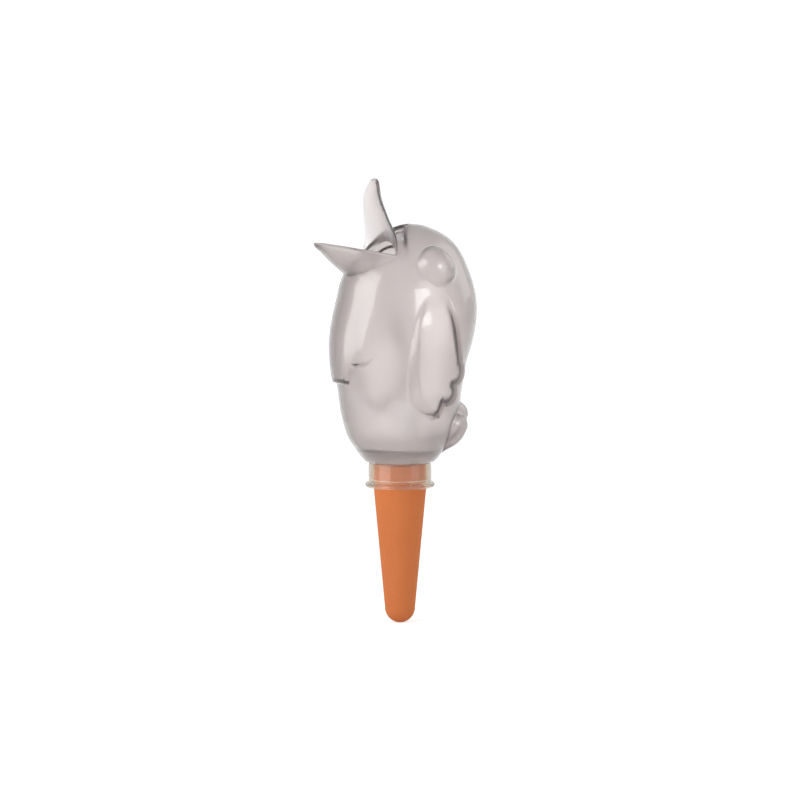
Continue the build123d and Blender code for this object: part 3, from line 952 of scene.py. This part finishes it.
def soft_seal(finish):
    """Soft seal: matt, with a faint mottle and a fine grain."""
    material, add, place = new_material("soft_seal")
    mottle = add("TexNoise", {"Vector": place}, Scale=260.0, Detail=3.0)
    darker = [0.85 * value for value in finish.seal]
    tone = add("MixRGB", {"Fac": mottle}, Color1=(*finish.seal, 1), Color2=(*darker, 1))
    bump = add("Bump", {"Height": mottle}, Strength=0.15, Distance=0.0002)
    surface = add("BsdfPrincipled", {"Base Color": tone, "Normal": bump}, Roughness=0.6)
    add("OutputMaterial", {"Surface": surface})
    return material


def terracotta(finish):
    """Fired clay: broad patches of lighter and darker clay, fine speckles, pits, and a matt chalky face."""
    material, add, place = new_material("terracotta")
    clay = np.array(finish.clay)
    darker, lighter, chalk = 0.86 * clay, clay * (1.12, 1.25, 1.35), clay * (1.3, 1.9, 2.4)
    patch = add("TexNoise", {"Vector": place}, Scale=38.0, Detail=5.0)
    tone = add("MixRGB", {"Fac": patch}, Color1=(*darker, 1), Color2=(*np.minimum(lighter, 1), 1))
    grain = add("TexNoise", {"Vector": place}, Scale=1400.0, Detail=3.0)
    speck = add("MapRange", {"Value": grain}, From_Min=0.62, From_Max=0.72, To_Min=0.0, To_Max=0.35)
    speckled = add("MixRGB", {"Fac": speck, "Color1": tone}, Color2=(*np.minimum(chalk, 1), 1))
    pits = add("TexVoronoi", {"Vector": place}, Scale=420.0)
    pit_depth = add("MapRange", {"Value": pits}, From_Min=0.0, From_Max=0.28, To_Min=0.0, To_Max=1.0)
    half_grain = add("Math", {0: grain}, operation="MULTIPLY")
    half_grain.node.inputs[1].default_value = 0.5
    rough = add("Math", {0: half_grain, 1: pit_depth}, operation="ADD")
    bump = add("Bump", {"Height": rough}, Strength=0.25, Distance=0.0002)
    surface = add("BsdfPrincipled", {"Base Color": speckled, "Normal": bump}, Roughness=0.88)
    add("OutputMaterial", {"Surface": surface})
    return material


def dress(piece, material, node, body):
    """The piece takes its material, stands for its CAD node and rides on its body."""
    piece.data.materials.append(material)
    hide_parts(node)
    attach(piece, body)


class SPIKE_OT_bottle(bpy.types.Operator):
    """Adds the two moulded halves of the bird shaped bottle"""

    bl_idname = "spike.bottle"
    bl_label = "Bottle"

    def execute(self, context):
        scene = context.scene
        material = clear_plastic(scene.spike_finish, "clear_plastic", scene.spike_finish.smoke_density)
        for side, mirrored in (("left", False), ("right", True)):
            sizes = scene.spike_bottle, scene.spike_relief, scene.spike_beak
            half = bottle_half(*sizes, f"bottle_{side}", mirrored)
            dress(half, material, f"{side}_shell", "reservoir")
        return {"FINISHED"}


class SPIKE_OT_neck_insert(bpy.types.Operator):
    """Adds the thick clear disc in the bottle's foot, with its spigot"""

    bl_idname = "spike.neck_insert"
    bl_label = "Neck Insert"

    def execute(self, context):
        bottle, base = context.scene.spike_bottle, context.scene.spike_base
        bottom, top = bottle.bottom, bottle.bottom + bottle.seat_height
        corners = [
            (base.spigot_bore_radius, bottom - base.spigot_length),
            (base.spigot_radius, bottom - base.spigot_length),
            (base.spigot_radius, bottom + base.fit_gap),
            (bottle.seat_bottom_radius - base.fit_gap, bottom + base.fit_gap),
            (bottle.seat_top_radius - base.fit_gap, top),
            (base.insert_dish_radius, top),
            (base.spigot_bore_radius, top - base.insert_dish_depth),
        ]
        profile = round_corners(corners, [0.4 * MM, 0.4 * MM, 0.6 * MM, 0, 0.3 * MM, 1.2 * MM, 0.8 * MM])
        piece = turned("neck_disc", profile)
        finish = context.scene.spike_finish
        density = INSERT_SMOKE_SHARE * finish.smoke_density
        material = clear_plastic(finish, "clear_insert", density, INSERT_CLEARNESS)
        dress(piece, material, "neck_insert", "reservoir")
        return {"FINISHED"}


class SPIKE_OT_seal_ring(bpy.types.Operator):
    """Adds the soft ring between the bottle and the cone"""

    bl_idname = "spike.seal_ring"
    bl_label = "Seal Ring"

    def execute(self, context):
        bottle, base = context.scene.spike_bottle, context.scene.spike_base
        low, high = bottle.bottom - base.seal_thickness, bottle.bottom - base.fit_gap
        near, far = base.spigot_radius + base.fit_gap, base.spigot_radius + base.seal_width
        corners = [(near, low), (far, low), (far, high), (near, high)]
        piece = turned("seal_washer", round_corners(corners, [0.35 * MM] * 4))
        dress(piece, soft_seal(context.scene.spike_finish), "seal_ring", "reservoir")
        return {"FINISHED"}


class SPIKE_OT_collar(bpy.types.Operator):
    """Adds the milky collar with its rolled lip"""

    bl_idname = "spike.collar"
    bl_label = "Collar"

    def execute(self, context):
        bottle, base = context.scene.spike_bottle, context.scene.spike_base
        top = bottle.bottom - base.fit_gap
        grip = base.cone_radius + base.fit_gap
        sleeve = base.collar_radius - base.collar_wall
        corners = [
            (grip, 0),
            (base.flange_radius, 0),
            (base.flange_radius, base.flange_thickness),
            (base.collar_radius, base.flange_thickness),
            (base.collar_radius, top),
            (sleeve, top),
            (sleeve, base.grip_height),
            (grip, base.grip_height),
        ]
        radii = [0.3, 1.2, 1.2, 0.9, 0.5, 0.4, 0.4, 0.3]
        piece = turned("collar_sleeve", round_corners(corners, [radius * MM for radius in radii], 8))
        dress(piece, milky_plastic(context.scene.spike_finish), "collar", "spike")
        return {"FINISHED"}


class SPIKE_OT_clay_cone(bpy.types.Operator):
    """Adds the hollow clay cone with its rounded tip"""

    bl_idname = "spike.clay_cone"
    bl_label = "Clay Cone"

    def execute(self, context):
        bottle, base = context.scene.spike_bottle, context.scene.spike_base
        top = bottle.bottom - base.seal_thickness
        tip = base.cone_tip_radius - base.cone_depth
        bore = base.cone_radius - base.cone_wall
        bend = np.linspace(0, np.pi / 2, 24)
        end = base.cone_tip_radius
        outside = np.stack([end * np.sin(bend), tip - end * np.cos(bend)], -1)
        side = np.linspace((end, tip), (base.cone_radius, 0), 60)[1:]
        corners = [(bore, tip), (base.cone_radius, tip), (base.cone_radius, top), (bore, top)]
        rim = round_corners(corners, [0, 0, 0.8 * MM, 0.8 * MM])[2:]
        hollow = [(bore, 0), (end - base.cone_wall, tip), (0, base.cone_floor - base.cone_depth)]
        profile = np.concatenate([outside, side, rim, hollow])
        piece = turned("clay_spike", profile, 144, closed=False)
        dress(piece, terracotta(context.scene.spike_finish), "clay_cone", "spike")
        return {"FINISHED"}


def backdrop_material():
    """White paper, lit by the lamps. The camera, glass and gloss also see the rest of its white as a glow."""
    material, add, place = new_material("white_paper")
    grain = add("TexNoise", {"Vector": place}, Scale=300.0, Detail=2.0)
    tone = add("MixRGB", {"Fac": grain}, Color1=(0.8, 0.8, 0.8, 1), Color2=(0.82, 0.82, 0.82, 1))
    paper = add("BsdfDiffuse", {"Color": tone})
    share = add("Math", {0: seen_directly(add)}, operation="MULTIPLY")
    share.node.inputs[1].default_value = PAPER_GLOW
    glow = add("Emission", {"Strength": share}, Color=(1, 1, 1, 1))
    add("OutputMaterial", {"Surface": add("AddShader", {0: paper, 1: glow})})
    return material


def seen_directly(add):
    """1 for what the camera, glossy and clear surfaces see, and 0 for light that falls on the object."""
    path = add("LightPath").node.outputs
    first = add("Math", {0: path["Is Camera Ray"], 1: path["Is Glossy Ray"]}, operation="MAXIMUM")
    return add("Math", {0: first, 1: path["Is Transmission Ray"]}, operation="MAXIMUM")


def studio_light():
    """A world that is white where it is seen directly, and lights the object with less."""
    world = bpy.data.worlds.new("studio")
    world.use_nodes = True
    world.node_tree.nodes.clear()
    add = adder(world.node_tree)
    strength = add("MapRange", {"Value": seen_directly(add)}, To_Min=0.4, To_Max=1.0)
    soft = add("Background", {"Strength": strength}, Color=(1, 1, 1, 1))
    add("OutputWorld", {"Surface": soft})
    return world


def way_to(azimuth, elevation):
    """The direction at an angle round the object from its front, and above the horizon."""
    flat = math.cos(elevation)
    return Vector((math.sin(azimuth) * flat, -math.cos(azimuth) * flat, math.sin(elevation)))


def place_round(name, data, azimuth, elevation, distance, aim):
    """A lamp or camera at an angle round the object, turned towards it."""
    piece = bpy.data.objects.new(name, data)
    way = way_to(azimuth, elevation)
    piece.location = aim + way * distance
    piece.rotation_euler = way.to_track_quat("Z", "Y").to_euler()
    bpy.context.scene.collection.objects.link(piece)
    return piece


def white_sweep(azimuth, level):
    """A white floor that turns up behind the object, by the cube of the way to the back."""
    run = np.linspace(-1, 1, 60)
    across = np.linspace(-FLOOR_HALF_WIDTH, FLOOR_HALF_WIDTH, 13)
    bend = np.clip((run - 0.2) / 0.8, 0, 1)
    back, up = (run * FLOOR_REACH)[:, None], FLOOR_RISE * bend**3
    x = across * math.cos(azimuth) - back * math.sin(azimuth)
    y = across * math.sin(azimuth) + back * math.cos(azimuth)
    z = np.broadcast_to(up[:, None] + level, x.shape)
    mesh = bpy.data.meshes.new("floor")
    mesh.from_pydata(np.stack([x, y, z], -1).reshape(-1, 3).tolist(), [], grid_faces(*x.shape))
    mesh.shade_smooth()
    mesh.materials.append(backdrop_material())
    floor = bpy.data.objects.new("floor", mesh)
    bpy.context.scene.collection.objects.link(floor)
    return floor


class SPIKE_OT_stage(bpy.types.Operator):
    """Adds the white sweep, the lamps and the camera"""

    bl_idname = "spike.stage"
    bl_label = "Stage"

    def execute(self, context):
        scene, stage, base = context.scene, context.scene.spike_stage, context.scene.spike_base
        floor = white_sweep(stage.azimuth, -base.cone_depth)
        aim = Vector((0, 0, stage.aim_height))
        for name, (turn, rise, size, share) in SOFTBOXES.items():
            lamp = bpy.data.lights.new(name, "AREA")
            lamp.shape = "RECTANGLE"
            lamp.size, lamp.size_y = size
            lamp.energy = share * stage.lamp_power
            lamp.color = LAMP_COLOUR
            azimuth = stage.azimuth + math.radians(turn)
            place_round(name, lamp, azimuth, math.radians(rise), stage.lamp_distance, aim)
        scene.world = studio_light()
        scene.view_settings.view_transform = "Standard"

        camera = bpy.data.cameras.new("camera")
        camera.lens = stage.lens
        camera.clip_end = 20
        scene.camera = place_round("camera", camera, stage.azimuth, stage.elevation, stage.distance, aim)
        return {"FINISHED"}


class SPIKE_PT_panel(bpy.types.Panel):
    """Lists the pieces of the spike and their sizes"""

    bl_label = "Self Watering Spike"
    bl_idname = "SPIKE_PT_panel"
    bl_space_type = "VIEW_3D"
    bl_region_type = "UI"
    bl_category = "Spike"

    def draw(self, context):
        for operator in OPERATORS:
            self.layout.operator(operator.bl_idname)
        for name, group in SETTINGS.items():
            box = self.layout.box()
            box.label(text=group.__name__)
            for key in group.__annotations__:
                box.prop(getattr(context.scene, name), key)


SETTINGS = {
    "spike_bottle": BottleSizes,
    "spike_relief": ReliefSizes,
    "spike_beak": BeakSizes,
    "spike_base": BaseSizes,
    "spike_finish": Finishes,
    "spike_stage": StageSizes,
}
OPERATORS = (
    SPIKE_OT_stage,
    SPIKE_OT_bottle,
    SPIKE_OT_neck_insert,
    SPIKE_OT_seal_ring,
    SPIKE_OT_collar,
    SPIKE_OT_clay_cone,
)


def register():
    """Registers every class, and hangs each group of sizes on the scene."""
    for name, group in SETTINGS.items():
        bpy.utils.register_class(group)
        setattr(bpy.types.Scene, name, PointerProperty(type=group))
    for kind in (*OPERATORS, SPIKE_PT_panel):
        bpy.utils.register_class(kind)


def unregister():
    """Takes back what register did, in the opposite order."""
    for kind in (SPIKE_PT_panel, *reversed(OPERATORS)):
        bpy.utils.unregister_class(kind)
    for name, group in reversed(SETTINGS.items()):
        delattr(bpy.types.Scene, name)
        bpy.utils.unregister_class(group)


def main():
    """Builds the stage and every piece."""
    register()
    bpy.ops.spike.stage()
    bpy.ops.spike.bottle()
    bpy.ops.spike.neck_insert()
    bpy.ops.spike.seal_ring()
    bpy.ops.spike.collar()
    bpy.ops.spike.clay_cone()


if __name__ == "__main__":
    main()
